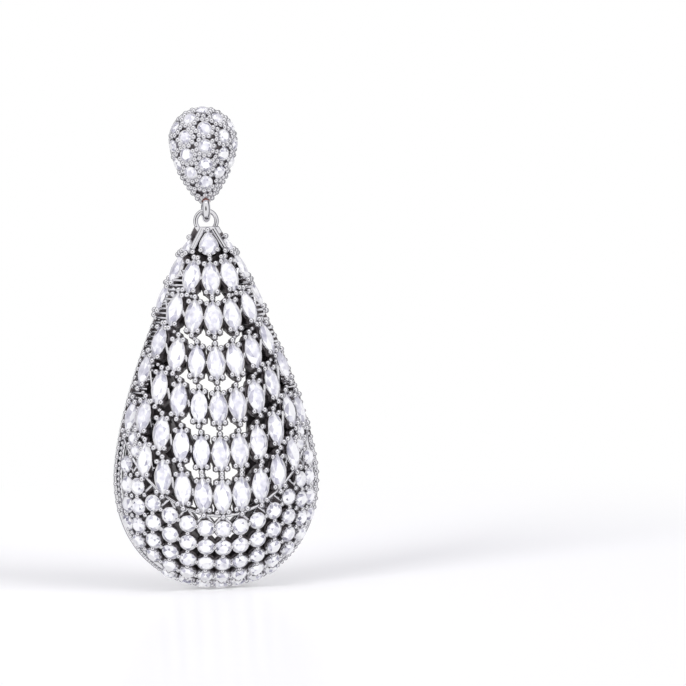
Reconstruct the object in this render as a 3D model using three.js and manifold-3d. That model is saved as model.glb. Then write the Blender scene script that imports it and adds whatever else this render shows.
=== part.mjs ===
// Drop earring: a pave teardrop stud with its point down, and a hollow openwork teardrop that hangs
// from it by a ring. Millimetres, +Z up, the front faces -Y.
// The origin is the root of the ear post, on the flat back of the stud. X = 0 is the middle plane.
import * as THREE from 'three';
import { mergeVertices } from 'three/addons/utils/BufferGeometryUtils.js';
import Module from 'manifold-3d';

const wasm = await Module();
wasm.setup();

// Clearances
const seatGap = 0.3; // between a gallery and the frame or gallery that it meets
const studSeat = 0.12; // round the pave dome, on its plate and over its loop
const hangGap = 0.16; // the drop's ring over the loop's wire

// Stud
const studHeight = 10.55;
const studWidth = 7.4;
const studDepth = 2.7; // of the dome, in front of its plate
const studPlate = 0.9;
const studWall = 0.85;
const studLip = 0.32; // the plate's edge, outside the dome
const studStone = 1.45;
const studBasket = 0.5; // depth of the setting under the girdle
const studPitch = 2.05; // down a column of stones
const postDiameter = 0.9;
const postLength = 11;

// Loop under the stud and ring over the drop
const loopWire = 0.87;
const loopHole = 1.09;
const ringWire = 0.54;
const ringHole = 1.75;
const loopSolder = 0.348; // overlap of the loop's wire and the stud's point
const ringToDrop = 0.275; // from the lowest point of the ring's hole up to the top of the drop

// Drop
const dropLength = 39.2;
const dropWidth = 22.3;
const dropDepth = 8; // of the dome, in front of its back plate
const backPlate = 1;
const rimWall = 0.95;
const rimRise = 0.2; // height of the rim, as a share of the dome's depth beside it
const openingLength = 28.4;
const openingWidth = 7.4;
const openingTop = 6.9; // from the top of the drop down to the back opening
const openingBelly = 0.25; // level at which the opening is at its widest, as a share
const openingPoint = 0.3; // width at the opening's top, as a share of its width
const borderWire = 0.8; // wire that edges both galleries, on the rim

// Front gallery of marquise stones
const marquiseLength = 4;
const marquiseWidth = 2;
const marquisePitch = 2.17; // round a row, on the surface
const marquiseBasket = 1.7; // depth of the setting under the girdle
const rowCurve = 9; // radius of the smile of each row, at its middle
const pearLength = 2.7;
const pearWidth = 2;
const sidePearLength = 2;
const sidePearWidth = 1.3;
const linkWidth = 0.5;
const linkHeight = 0.7;
const linkSink = 0.1; // from a girdle down to the top of its links
const railWire = 0.5;
const railDrop = 0.05; // from the tips of the last row down to the middle of the rail
const railCurve = 8.5; // radius of the rail's smile, at its middle

// Lower gallery of round stones
const roundStone = 1.75;
const roundPitch = 2.2; // down a column
const roundColumns = 1.95; // from column to column, along the rail
const roundFirst = 1.5; // from the rail to the first row, square to the rail
const roundPavilion = 1.1; // depth of the stone and its seat under the girdle, to a point

const crownShare = 0.22; // height of every crown over its girdle, as a share of the stone's width
const tableShare = 0.56; // width of every table, as a share of the stone's width
const marquiseFoot = 0.66; // size of a setting's foot, as a share of its stone
const pearFoot = 0.8;
const studFoot = 0.7;
const studBelly = 0.66; // height of the stud's widest level and of its post, as a share

// Steps of the curves
const outlineSteps = 32; // round each outline
const railSteps = 10; // places on either side of the rail's middle
const borderSteps = 9; // places down one side of a border
const rimSteps = 14; // down the front of the rim
const domeSteps = 5; // levels from the stud's middle to its far end
const domeSides = 10; // round a level of the stud's dome
const wireSides = 6;
const railWireSteps = 12;
const upperBorderSteps = 24;
const lowerBorderSteps = 16;
const slopeStep = 1e-3; // either side of a place, to find its slopes
const searchStep = 5e-4; // of level, to find a place down the drop
const arcStep = 0.1; // along the rail, to find its end
const lowestAngle = 0.02; // at which a border is taken to be at the drop's middle
const domeEnd = 0.99; // level that stands for the rounded end of a closed dome

// Rows of marquises: the level of the middle stone as a share of the drop's length from its top,
// and how many stones stand on either side of it
const marquiseRows = [
  { level: 0.142, sides: 2 },
  { level: 0.251, sides: 3 },
  { level: 0.373, sides: 3 },
  { level: 0.495, sides: 4 },
  { level: 0.619, sides: 4 },
  { level: 0.737, sides: 4 },
];
// One more marquise stands outside these rows on each flank
const flankStone = { level: 0.683, column: 5 };
// Pears round the top: one in front and one on either side, with its angle round the dome
const pearLevel = 0.045;
const sidePear = { level: 0.055, angle: 68 };
const borderTop = 0.03; // level at which the border wire starts

// Columns of round stones on the stud: angle round the dome in degrees, level of the lowest stone
// as a share of the stud's height from its point, and how many stones
const studColumns = [
  { angle: 0, first: 0.21, count: 5 },
  { angle: 38, first: 0.315, count: 4 },
  { angle: 74, first: 0.42, count: 3 },
];

// Outlines of the stones, as shares of half their length and half their width
const marquiseOutline = [-1, -0.5, 0, 0.5, 1, 0.5, 0, -0.5].map((along, place) => ({
  along,
  across: (place > 4 ? -1 : 1) * (1 - along ** 2),
}));
const roundOutline = Array.from({ length: 8 }, (_, place) => ({
  along: -Math.cos(((place + 0.5) * Math.PI) / 4),
  across: Math.sin(((place + 0.5) * Math.PI) / 4),
}));
const pearOutline = [
  { along: -1, across: 0 },
  { along: -0.75, across: 0.66 },
  { along: -0.2, across: 1 },
  { along: 0.45, across: 0.6 },
  { along: 1, across: 0 },
  { along: 0.45, across: -0.6 },
  { along: -0.2, across: -1 },
  { along: -0.75, across: -0.66 },
];

// Places that follow from the sizes
const studForm = {
  point: -studBelly * studHeight,
  sense: 1,
  length: studHeight,
  width: studWidth,
  depth: studDepth,
  back: -studPlate,
  belly: studBelly,
  pointWidth: 0.12,
  flankPower: 1.8,
  roundPower: 2,
};
const paveForm = {
  ...studForm,
  point: studForm.point + studLip,
  length: studHeight - 2 * studLip,
  width: studWidth - 2 * studLip,
};
const loopRadius = (loopHole + loopWire) / 2;
const ringRadius = (ringHole + ringWire) / 2;
const loopCentre = new THREE.Vector3(
  0,
  -loopRadius - loopWire / 2,
  studForm.point - loopRadius + loopSolder,
);
const pivotZ = loopCentre.z - loopRadius;
const ringZ = pivotZ + loopWire / 2 + hangGap - ringHole / 2;
const dropBack = loopCentre.y + backPlate / 2;
const dropForm = {
  point: ringZ - ringHole / 2 + ringToDrop,
  sense: -1,
  length: dropLength,
  width: dropWidth,
  depth: dropDepth,
  back: dropBack - backPlate,
  belly: 0.695,
  pointWidth: 0.12,
  flankPower: 1.5,
  roundPower: 2.2,
};
const openingForm = {
  ...dropForm,
  point: dropForm.point - openingTop,
  length: openingLength,
  width: openingWidth,
  belly: openingBelly,
  pointWidth: openingPoint,
  flankPower: 2,
  roundPower: 2.6,
};

// Teardrop surfaces
// Half width at a level, as a share of the greatest: a power curve from the point to the belly and
// a superellipse round the far end.
function widthShare(form, level) {
  if (level <= form.belly) {
    const rise = (form.belly - level) / form.belly;
    return 1 - (1 - form.pointWidth) * rise ** form.flankPower;
  }
  const fall = Math.min(1, (level - form.belly) / (1 - form.belly));
  return (1 - fall ** form.roundPower) ** (1 / form.roundPower);
}

const levelZ = (form, level) => form.point + form.sense * level * form.length;
const halfWidth = (form, level) => (form.width / 2) * widthShare(form, level);
const depthAt = (form, level) => form.depth * widthShare(form, level);

// Every level section of the dome is half an ellipse; the angle runs from 0 at the front middle to
// a right angle at the flat back.
function domePoint(form, level, angle) {
  return new THREE.Vector3(
    halfWidth(form, level) * Math.sin(angle),
    form.back - depthAt(form, level) * Math.cos(angle),
    levelZ(form, level),
  );
}

// Axes of a stone on the dome: across it, along it towards the form's point, and outwards.
function domeFrame(form, level, angle, lift = 0) {
  const round = domePoint(form, level, angle + slopeStep).sub(domePoint(form, level, angle - slopeStep));
  const fore = domePoint(form, level - slopeStep, angle);
  const along = fore.sub(domePoint(form, level + slopeStep, angle)).normalize();
  const out = round.cross(along).normalize();
  const middle = new THREE.Vector3(0, form.back, levelZ(form, form.belly));
  const origin = domePoint(form, level, angle);
  if (out.dot(origin.clone().sub(middle)) < 0) out.negate();
  const across = along.clone().cross(out).normalize();
  origin.addScaledVector(out, lift);
  return { origin, across, along, out };
}

// Angle at which the arc of a level section reaches a length.
function angleAtArc(form, level, arc) {
  const step = Math.PI / 360;
  const width = halfWidth(form, level);
  const depth = depthAt(form, level);
  let angle = 0;
  for (let run = 0; run < Math.abs(arc) && angle < Math.PI / 2; angle += step) {
    run += step * Math.hypot(width * Math.cos(angle), depth * Math.sin(angle));
  }
  return Math.sign(arc) * angle;
}

// Angle of the galleries' border wire, which stands on the rim.
function borderAngle(level) {
  const depth = depthAt(dropForm, level);
  const stand = rimRise * depth + seatGap + borderWire / 2;
  return Math.acos(Math.min(1, stand / depth));
}

// A place in a row: the row climbs away from its middle as the square of the distance round it.
function rowPlace(level, arc, curve = rowCurve) {
  const raised = level - arc ** 2 / (2 * curve) / dropForm.length;
  return { level: raised, angle: angleAtArc(dropForm, raised, arc) };
}

// Solids
function solidOf(geometry) {
  const bare = geometry.clone();
  bare.deleteAttribute('normal');
  bare.deleteAttribute('uv');
  const merged = mergeVertices(bare, 1e-5);
  const corners = merged.index.array;
  const triVerts = [];
  for (let i = 0; i < corners.length; i += 3) {
    const triangle = [corners[i], corners[i + 1], corners[i + 2]];
    if (new Set(triangle).size === 3) triVerts.push(...triangle);
  }
  return new wasm.Manifold(
    new wasm.Mesh({
      numProp: 3,
      vertProperties: new Float32Array(merged.attributes.position.array),
      triVerts: new Uint32Array(triVerts),
    }),
  );
}

function geometryOf(solid) {
  const mesh = solid.getMesh();
  const geometry = new THREE.BufferGeometry();
  geometry.setAttribute('position', new THREE.BufferAttribute(new Float32Array(mesh.vertProperties), 3));
  geometry.setIndex(Array.from(mesh.triVerts));
  geometry.computeVertexNormals();
  return geometry;
}

const join = (solids) => solids.reduce((whole, solid) => whole.add(solid));

// Closed skin over a list of sections with the same number of points, with flat ends.
function loft(sections) {
  const count = sections[0].length;
  const positions = sections.flat().flatMap((point) => [point.x, point.y, point.z]);
  const index = [];
  for (let k = 0; k + 1 < sections.length; k++) {
    for (let i = 0; i < count; i++) {
      const a = k * count + i;
      const b = k * count + ((i + 1) % count);
      index.push(a, b, b + count, a, b + count, a + count);
    }
  }
  const last = (sections.length - 1) * count;
  for (let i = 1; i + 1 < count; i++) {
    index.push(0, i + 1, i, last, last + i, last + i + 1);
  }
  const geometry = new THREE.BufferGeometry();
  geometry.setAttribute('position', new THREE.Float32BufferAttribute(positions, 3));
  geometry.setIndex(index);
  const solid = solidOf(geometry);
  if (solid.volume() > 0) return solid;
  geometry.setIndex(index.map((_, i) => index[i - (i % 3) + 2 - (i % 3)]));
  return solidOf(geometry);
}

// A faceted stone with its setting under it: levels of one outline, at their share of its size.
function setStone(place, outline, length, width, basket, foot) {
  const levels = [
    { size: foot, height: -basket },
    { size: 1, height: 0 },
    { size: tableShare, height: crownShare * width },
  ];
  return loft(
    levels.map(({ size, height }) =>
      outline.map(({ along, across }) =>
        place.origin
          .clone()
          .addScaledVector(place.along, (along * size * length) / 2)
          .addScaledVector(place.across, (across * size * width) / 2)
          .addScaledVector(place.out, height),
      ),
    ),
  );
}

// A bar between two places, just under their girdles: three-sided, with a flat upper side.
function link(from, to) {
  const out = from.out.clone().add(to.out).normalize();
  const along = to.origin.clone().sub(from.origin).normalize();
  const side = along.clone().cross(out).normalize();
  const corners = [
    { aside: -0.5, under: 0 },
    { aside: 0.5, under: 0 },
    { aside: 0, under: 1 },
  ];
  const section = (place) =>
    corners.map(({ aside, under }) =>
      place.origin
        .clone()
        .addScaledVector(side, aside * linkWidth)
        .addScaledVector(out, -linkSink - under * linkHeight),
    );
  return loft([section(from), section(to)]);
}

// A wire along a smooth path through places.
function wire(points, diameter, steps) {
  const section = new THREE.Shape(
    Array.from({ length: wireSides }, (_, i) => {
      const turn = ((i + 0.5) * 2 * Math.PI) / wireSides;
      return new THREE.Vector2(Math.cos(turn), Math.sin(turn)).multiplyScalar(diameter / 2);
    }),
  );
  const extrudePath = new THREE.CatmullRomCurve3(points, false, 'centripetal');
  return solidOf(new THREE.ExtrudeGeometry(section, { steps, extrudePath }));
}

// Levels from one to another, closer together towards the second.
const easedLevels = (from, to, count) =>
  Array.from({ length: count + 1 }, (_, i) => from + (to - from) * Math.sin((i / count) * (Math.PI / 2)));

// The solid dome of a form, its flat back closed.
function domeSolid(form, levels, sides) {
  const angles = Array.from({ length: sides + 1 }, (_, i) => Math.PI * (i / sides - 0.5));
  return loft(levels.map((level) => angles.map((angle) => domePoint(form, level, angle))));
}

// Outline of a form seen from the front, as points right round it, moved inwards by an inset.
function outlinePoints(form, inset = 0) {
  const half = outlineSteps / 2;
  const side = Array.from({ length: half + 1 }, (_, i) => {
    const level = (1 - Math.cos((Math.PI * i) / half)) / 2;
    return new THREE.Vector2(halfWidth(form, level), levelZ(form, level));
  });
  const left = side.map(({ x, y }) => new THREE.Vector2(-x, y)).reverse();
  const ring = [...side, ...left.slice(1)];
  const inward = form.sense * inset;
  const moved = ring.map((point, i) => {
    const chord = ring[(i + 1) % ring.length].clone().sub(ring.at(i - 1)).normalize();
    return new THREE.Vector2(point.x - inward * chord.y, point.y + inward * chord.x);
  });
  return inset ? moved.filter(({ y }) => form.sense * (y - form.point) > 1.1 * inset) : ring;
}

// A flat piece with an outline and holes, from a back plane forwards.
function plate(outline, holes, back, thickness) {
  const shape = new THREE.Shape(outline);
  shape.holes = holes.map((hole) => new THREE.Path([...hole].reverse()));
  const geometry = new THREE.ExtrudeGeometry(shape, { depth: thickness, bevelEnabled: false });
  const turned = new THREE.Matrix4().makeBasis(
    new THREE.Vector3(1, 0, 0),
    new THREE.Vector3(0, 0, 1),
    new THREE.Vector3(0, -1, 0),
  );
  turned.setPosition(0, back, 0);
  return solidOf(geometry.applyMatrix4(turned));
}

// Heights well above and below the drop, for the solids that cut it
const clear = { top: dropForm.point + dropWidth, bottom: levelZ(dropForm, 1) - dropWidth };

// Everything in front of the rim by a stand, which is one profile drawn out across the drop.
function frontOfRim(stand) {
  const profile = easedLevels(0, 1, rimSteps).map((level) => {
    const front = dropForm.back - rimRise * depthAt(dropForm, level) - stand;
    return new THREE.Vector2(front, levelZ(dropForm, level));
  });
  const far = dropForm.back - 2 * dropDepth;
  const shape = new THREE.Shape([
    new THREE.Vector2(far, clear.top),
    new THREE.Vector2(profile[0].x, clear.top),
    ...profile,
    new THREE.Vector2(profile.at(-1).x, clear.bottom),
    new THREE.Vector2(far, clear.bottom),
  ]);
  const geometry = new THREE.ExtrudeGeometry(shape, { depth: 2 * dropWidth, bevelEnabled: false });
  const turned = new THREE.Matrix4().makeBasis(
    new THREE.Vector3(0, 1, 0),
    new THREE.Vector3(0, 0, 1),
    new THREE.Vector3(1, 0, 0),
  );
  turned.setPosition(-dropWidth, 0, 0);
  return solidOf(geometry.applyMatrix4(turned));
}

// Stud: its plate with the post and the loop, soldered into one
function loopSolid(wireDiameter) {
  const loop = new THREE.TorusGeometry(loopRadius, wireDiameter / 2, wireSides, 14).rotateY(Math.PI / 2);
  return solidOf(loop.translate(loopCentre.x, loopCentre.y, loopCentre.z));
}

function studFrame() {
  const base = plate(outlinePoints(studForm), [], 0, studPlate);
  const post = new THREE.CylinderGeometry(postDiameter / 2, postDiameter / 2, postLength + studPlate / 2, 12);
  return join([base, solidOf(post.translate(0, postLength / 2 - studPlate / 4, 0)), loopSolid(loopWire)]);
}

// Stud: the pave dome, a shell open at its back, with its stones
function studPave() {
  const half = 0.5;
  const near = easedLevels(half, 0, domeSteps - 2).reverse();
  const outer = domeSolid(paveForm, [...near, ...easedLevels(half, domeEnd, domeSteps).slice(1)], domeSides);
  const hollow = {
    ...paveForm,
    point: paveForm.point + studWall,
    length: paveForm.length - 2 * studWall,
    width: paveForm.width - 2 * studWall,
    depth: paveForm.depth - studWall,
  };
  const shell = outer.subtract(domeSolid(hollow, easedLevels(0, domeEnd, domeSteps), domeSides - 2));
  const stones = studColumns.flatMap(({ angle, first, count }) =>
    (angle ? [-1, 1] : [1]).flatMap((side) =>
      Array.from({ length: count }, (_, i) => {
        const level = first + (i * studPitch) / studForm.length;
        const place = domeFrame(paveForm, level, side * THREE.MathUtils.degToRad(angle));
        return setStone(place, roundOutline, studStone, studStone, studBasket, studFoot);
      }),
    ),
  );
  const seat = plate(
    [
      new THREE.Vector2(-studWidth, -studHeight),
      new THREE.Vector2(studWidth, -studHeight),
      new THREE.Vector2(studWidth, studHeight),
      new THREE.Vector2(-studWidth, studHeight),
    ],
    [],
    studDepth,
    studDepth + studPlate + studSeat,
  );
  return join([shell, ...stones]).subtract(seat).subtract(loopSolid(loopWire + 2 * studSeat));
}

// Drop: back plate with its opening, rim and ring, soldered into one
function dropFrame() {
  const base = plate(outlinePoints(dropForm), [outlinePoints(openingForm)], dropBack, backPlate);
  const rim = plate(
    outlinePoints(dropForm),
    [outlinePoints(dropForm, rimWall)],
    dropBack - backPlate / 2,
    backPlate / 2 + rimRise * dropDepth,
  );
  const ring = new THREE.TorusGeometry(ringRadius, ringWire / 2, wireSides, 16).rotateX(Math.PI / 2);
  return join([base, rim.subtract(frontOfRim(0)), solidOf(ring.translate(0, loopCentre.y, ringZ))]);
}

// Drop: marquise stones in their baskets, the links between them, the border wire and the rail
const railLevel = marquiseRows.at(-1).level + (marquiseLength / 2 + railDrop) / dropForm.length;

const railPlace = (arc) => ({ ...rowPlace(railLevel, arc, railCurve), arc });

// Places along the rail, from border to border.
const railPlaces = (() => {
  let reach = 0;
  while (railPlace(reach).angle < borderAngle(railPlace(reach).level)) reach += arcStep;
  const shares = Array.from({ length: 2 * railSteps + 1 }, (_, i) => (i - railSteps) / railSteps);
  return shares.map((share) => railPlace(reach * share));
})();

function borderPoints(levels) {
  return levels.map((level) => domeFrame(dropForm, level, borderAngle(level), -borderWire / 2).origin);
}

const mirrored = (points) => points.map((point) => new THREE.Vector3(-point.x, point.y, point.z)).reverse();

function marquiseGallery() {
  const rows = marquiseRows.map(({ level, sides }) =>
    Array.from({ length: 2 * sides + 1 }, (_, i) => {
      const place = rowPlace(level, (i - sides) * marquisePitch);
      return { column: i - sides, ...domeFrame(dropForm, place.level, place.angle) };
    }),
  );
  const flanks = [-1, 1].map((side) => {
    const place = rowPlace(flankStone.level, side * flankStone.column * marquisePitch);
    return domeFrame(dropForm, place.level, place.angle);
  });
  const pear = domeFrame(dropForm, pearLevel, 0);
  const sidePears = [-1, 1].map((side) =>
    domeFrame(dropForm, sidePear.level, side * THREE.MathUtils.degToRad(sidePear.angle)),
  );
  const stones = [
    ...[...rows.flat(), ...flanks].map((place) =>
      setStone(place, marquiseOutline, marquiseLength, marquiseWidth, marquiseBasket, marquiseFoot),
    ),
    setStone(pear, pearOutline, pearLength, pearWidth, linkHeight, pearFoot),
    ...sidePears.map((place) =>
      setStone(place, pearOutline, sidePearLength, sidePearWidth, linkHeight, pearFoot),
    ),
  ];

  const links = [link(pear, rows[0][marquiseRows[0].sides]), ...sidePears.map((place) => link(pear, place))];
  rows.forEach((row, r) => {
    row.forEach((place, i) => {
      if (i + 1 < row.length) links.push(link(place, row[i + 1]));
      const below = rows[r + 1]?.find(({ column }) => column === place.column);
      if (below) links.push(link(place, below));
    });
  });

  const rail = railPlaces.map(({ level, angle }) => domeFrame(dropForm, level, angle, -railWire / 2).origin);
  const side = borderPoints(easedLevels(borderTop, railPlaces.at(-1).level, borderSteps));
  const border = [...mirrored(side), ...side];
  const wires = [wire(rail, railWire, railWireSteps), wire(border, borderWire, upperBorderSteps)];
  return join([...stones, ...links, ...edgeLinks(rows), ...wires]).subtract(behindRim());
}

// Each row that ends above the rail has a link to the border wire at both ends.
function edgeLinks(rows) {
  const levelOf = (place) => (dropForm.point - place.origin.z) / dropForm.length;
  return rows
    .flatMap((row) => [row[0], row.at(-1)])
    .filter((place) => levelOf(place) < railPlaces.at(-1).level)
    .map((place) => {
      const level = levelOf(place);
      return link(place, domeFrame(dropForm, level, Math.sign(place.origin.x) * borderAngle(level)));
    });
}

// Drop: the lattice of round stones below the rail, in upright columns, and its border wire
function roundGallery() {
  const end = railPlaces.at(-1);
  const columns = [];
  for (let column = 0; column * roundColumns < end.arc; column++) {
    for (const side of column ? [-1, 1] : [1]) {
      const start = railPlace(side * column * roundColumns);
      const x = halfWidth(dropForm, start.level) * Math.sin(start.angle);
      const slope = Math.atan(start.arc / railCurve);
      const places = columnPlaces(x, start.level, roundFirst / Math.cos(slope));
      columns.push({ column: side * column, places });
    }
  }
  columns.sort((a, b) => a.column - b.column);
  const stones = columns.flatMap(({ places }) =>
    places.map((place) => setStone(place, roundOutline, roundStone, roundStone, roundPavilion, 0)),
  );
  const links = columns.flatMap(({ places, column }) => {
    const next = columns.find((other) => other.column === column + 1);
    const down = places.slice(1).map((place, i) => link(places[i], place));
    const matched = next ? places.slice(0, next.places.length) : [];
    const beside = matched.map((place, i) => link(place, next.places[i]));
    const lowest = places.at(-1);
    if (!lowest) return [];
    return [...down, ...beside, link(lowest, borderBelow(lowest))];
  });
  const from = end.level + (2 * borderWire + seatGap) / dropForm.length;
  const side = borderPoints(easedLevels(from, lowestLevel, borderSteps));
  const border = [...side, ...mirrored(side).slice(1)];
  return join([...stones, ...links, wire(border, borderWire, lowerBorderSteps)]).subtract(behindRim());
}

// Level at which the border wire crosses the middle of the drop, above its lowest point.
const lowestLevel = (() => {
  let level = 1;
  while (borderAngle(level) < lowestAngle) level -= searchStep;
  return level;
})();

// The border wire straight below a place, or beside it.
function borderBelow(place) {
  let level = (dropForm.point - place.origin.z) / dropForm.length;
  const x = Math.abs(place.origin.x);
  while (level < lowestLevel && halfWidth(dropForm, level) * Math.sin(borderAngle(level)) > x) {
    level += searchStep;
  }
  level = Math.min(level, lowestLevel);
  return domeFrame(dropForm, level, Math.sign(place.origin.x) * borderAngle(level));
}

// Stones down an upright column, a pitch apart on the surface, until the border wire.
function columnPlaces(x, fromLevel, firstStep) {
  const places = [];
  let next = firstStep;
  let run = 0;
  let last = null;
  for (let level = fromLevel; level < lowestLevel; level += searchStep) {
    const width = halfWidth(dropForm, level);
    if (Math.abs(x) >= width) break;
    const angle = Math.asin(x / width);
    if (Math.abs(angle) > borderAngle(level)) break;
    const point = domePoint(dropForm, level, angle);
    if (last) run += point.distanceTo(last);
    last = point;
    if (run >= next) {
      places.push(domeFrame(dropForm, level, angle));
      next += roundPitch;
    }
  }
  return places;
}

// All that lies behind the front of the rim, with the seat gap.
function behindRim() {
  const block = plate(
    [
      new THREE.Vector2(-dropWidth, clear.bottom),
      new THREE.Vector2(dropWidth, clear.bottom),
      new THREE.Vector2(dropWidth, clear.top),
      new THREE.Vector2(-dropWidth, clear.top),
    ],
    [],
    dropBack + dropDepth / 2,
    2 * dropDepth,
  );
  return block.subtract(frontOfRim(seatGap));
}

const finishes = {
  metal: { color: 0xd4d4d6, roughness: 0.14, metalness: 1 },
  stones: { color: 0xe9e8ee, roughness: 0.04, metalness: 0 },
};

function piece(name, solid, finish) {
  const mesh = new THREE.Mesh(geometryOf(solid), new THREE.MeshStandardMaterial(finishes[finish]));
  mesh.name = name;
  return mesh;
}

const group = new THREE.Group();
group.add(
  piece('stud_frame', studFrame(), 'metal'),
  piece('stud_pave', studPave(), 'stones'),
  piece('drop_frame', dropFrame(), 'metal'),
  piece('marquise_gallery', marquiseGallery(), 'stones'),
  piece('round_gallery', roundGallery(), 'stones'),
);

export default group;
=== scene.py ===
from collections import namedtuple

import bpy
import numpy as np
from mathutils import Matrix, Vector


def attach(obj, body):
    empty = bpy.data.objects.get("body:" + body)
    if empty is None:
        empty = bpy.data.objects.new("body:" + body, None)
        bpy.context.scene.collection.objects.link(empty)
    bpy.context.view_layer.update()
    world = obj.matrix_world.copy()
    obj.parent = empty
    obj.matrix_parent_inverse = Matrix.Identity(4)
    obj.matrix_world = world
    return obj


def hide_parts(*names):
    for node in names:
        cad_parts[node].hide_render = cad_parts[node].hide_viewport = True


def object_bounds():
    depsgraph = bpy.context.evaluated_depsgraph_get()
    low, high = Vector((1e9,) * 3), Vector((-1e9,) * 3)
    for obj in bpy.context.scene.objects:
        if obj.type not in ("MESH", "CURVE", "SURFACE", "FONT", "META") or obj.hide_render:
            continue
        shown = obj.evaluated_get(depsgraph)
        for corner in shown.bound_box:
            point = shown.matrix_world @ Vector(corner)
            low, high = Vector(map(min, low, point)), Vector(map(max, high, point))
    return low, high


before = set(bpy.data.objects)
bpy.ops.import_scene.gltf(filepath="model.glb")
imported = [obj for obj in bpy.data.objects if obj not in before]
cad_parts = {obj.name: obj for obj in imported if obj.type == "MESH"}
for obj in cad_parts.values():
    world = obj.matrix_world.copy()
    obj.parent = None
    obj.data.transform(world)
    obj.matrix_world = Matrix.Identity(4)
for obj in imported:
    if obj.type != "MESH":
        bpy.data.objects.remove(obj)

cad_low, cad_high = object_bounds()
MM = 0.001

# Stud
STUD_HEIGHT = 10.55
STUD_WIDTH = 7.4
STUD_DEPTH = 2.7
STUD_PLATE = 0.9
STUD_SOFT = 0.1  # how far its plate's edges are eased
STUD_LIP = 0.32
STUD_STONE = 1.45
STUD_PITCH = 2.05
# Angle round the dome in degrees, share of the height at the lowest stone, number of stones
STUD_COLUMNS = ((0, 0.21, 5), (38, 0.315, 4), (74, 0.42, 3))
STUD_BEAD_PITCH = 0.6  # along the bed's edge
STUD_BEAD_ROOM = 0.44  # least distance between the middles of two beads
POST_DIAMETER = 0.9
POST_LENGTH = 11.0

# Loop under the stud and ring over the drop
LOOP_WIRE = 0.87
LOOP_HOLE = 1.09
LOOP_SOLDER = 0.348  # how deep the loop sits in the stud's point
RING_WIRE = 0.54
RING_HOLE = 1.75
HANG_GAP = 0.16
RING_TO_DROP = 0.275

# Drop
DROP_LENGTH = 39.2
DROP_WIDTH = 22.3
DROP_DEPTH = 8.0
DROP_SOFT = 0.12  # how far its plate's edges are eased
BACK_PLATE = 1.0
RIM_WALL = 0.95
RIM_RISE = 0.2  # height of the rim, as a share of the dome's depth beside it
RIM_SHADE_LEVEL = 0.6  # above this level the front of the rim takes painted shade, below it it is polished
RIM_BEAD_PITCH = 0.98
RIM_BEADS = (0.04, 0.8)  # levels between which the rim carries beads
OPENING_LENGTH = 28.4
OPENING_WIDTH = 7.4
OPENING_TOP = 6.9
OPENING_BELLY = 0.25
OPENING_POINT = 0.3
SEAT_GAP = 0.3
BORDER_TOP = 0.03
BORDER_WIRE = 0.8
BORDER_SIDES = 10
GRAIN_PITCH = 0.56
COMB_TOP = 0.12
COMB_PITCH = 0.5
COMB_LENGTH = 1.9
COMB_WIRE = 0.3
APEX_BAR = 0.66
APEX_BAR_ENDS = ((0.006, 24.0), (0.06, 43.0))  # levels and angles in degrees, as for the beads
APEX_BEADS = ((0.07, 37.0), (0.086, 23.0))

# Marquise field
MARQUISE_LENGTH = 4.0
MARQUISE_WIDTH = 2.0
SEEN_LENGTH = 3.85  # inside the rim of its collar
SEEN_WIDTH = 1.86
MARQUISE_PITCH = 2.17
ROW_CURVE = 9.0
# Share of the drop's length at the middle stone, stones on either side of it
MARQUISE_ROWS = ((0.142, 2), (0.251, 3), (0.373, 3), (0.495, 4), (0.619, 4), (0.737, 4))
FLANK_LEVEL = 0.683
FLANK_COLUMN = 5
PEAR_LEVEL = 0.045
PEAR_LENGTH = 2.7
PEAR_WIDTH = 2.0
PEAR_PRONGS = ((0, 1.45), (-0.9, -0.85), (0.9, -0.85), (0, -1.45))  # across and along
SIDE_PEAR_LEVEL = 0.055
SIDE_PEAR_ANGLE = 68.0
SIDE_PEAR_LENGTH = 2.0
SIDE_PEAR_WIDTH = 1.3
SIDE_PEAR_PRONGS = ((0, 1.1), (-0.6, -0.75), (0.6, -0.75))
PRONG_STEM = 0.78
TIP_PRONG = 2.15  # from the middle of a marquise to its tip prong
SHOULDER_PRONG = (0.62, 1.62)
BASKET_DEPTH = 1.9
BASKET_SHARE = 0.72  # size of the ring under a marquise, as a share of the stone's
NECK_WIRE = 0.4
LONG_NECK = 0.85  # a neck between two tips that is longer than this carries a bead
SIDE_LINK = 0.32
RAIL_WIRE = 0.34
# Diameter of the dark tube of painted shadow under the rail
RAIL_SHADOW = 0.6
RAIL_DROP = 0.05
RAIL_CURVE = 8.5

# Field of round stones
ROUND_STONE = 1.75
ROUND_PITCH = 2.2
ROUND_COLUMNS = 1.95
ROUND_FIRST = 1.5
LATTICE_LINK = 0.4
STRUT_WIRE = 0.26
# Diameter of the dark rods of painted shadow under the struts
STRUT_SHADOW = 0.58
CORNER_STONE = 1.4
CORNER_PLACES = ((0.606, 56.0), (0.574, 60.0))  # levels and angles in degrees
CUP_DEPTH = 1.1

# Beads: diameter, height of the middle over the surface, height of the foot, width of the stem
PRONG_BEAD = (0.68, 0.2, -0.5, 0.3)
SIDE_BEAD = (0.36, -0.02, -0.4, 0.2)
NECK_BEAD = (0.5, 0.0, -0.3, 0.2)
JUNCTION_BEAD = (0.6, 0.12, -0.4, 0.3)
RIM_BEAD = (0.6, 0.0, -0.4, 0.3)
BORDER_GRAIN = (0.46, 0.05, -0.4, 0.3)
STUD_BEAD = (0.68, 0.12, -0.25, 0.4)

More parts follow.
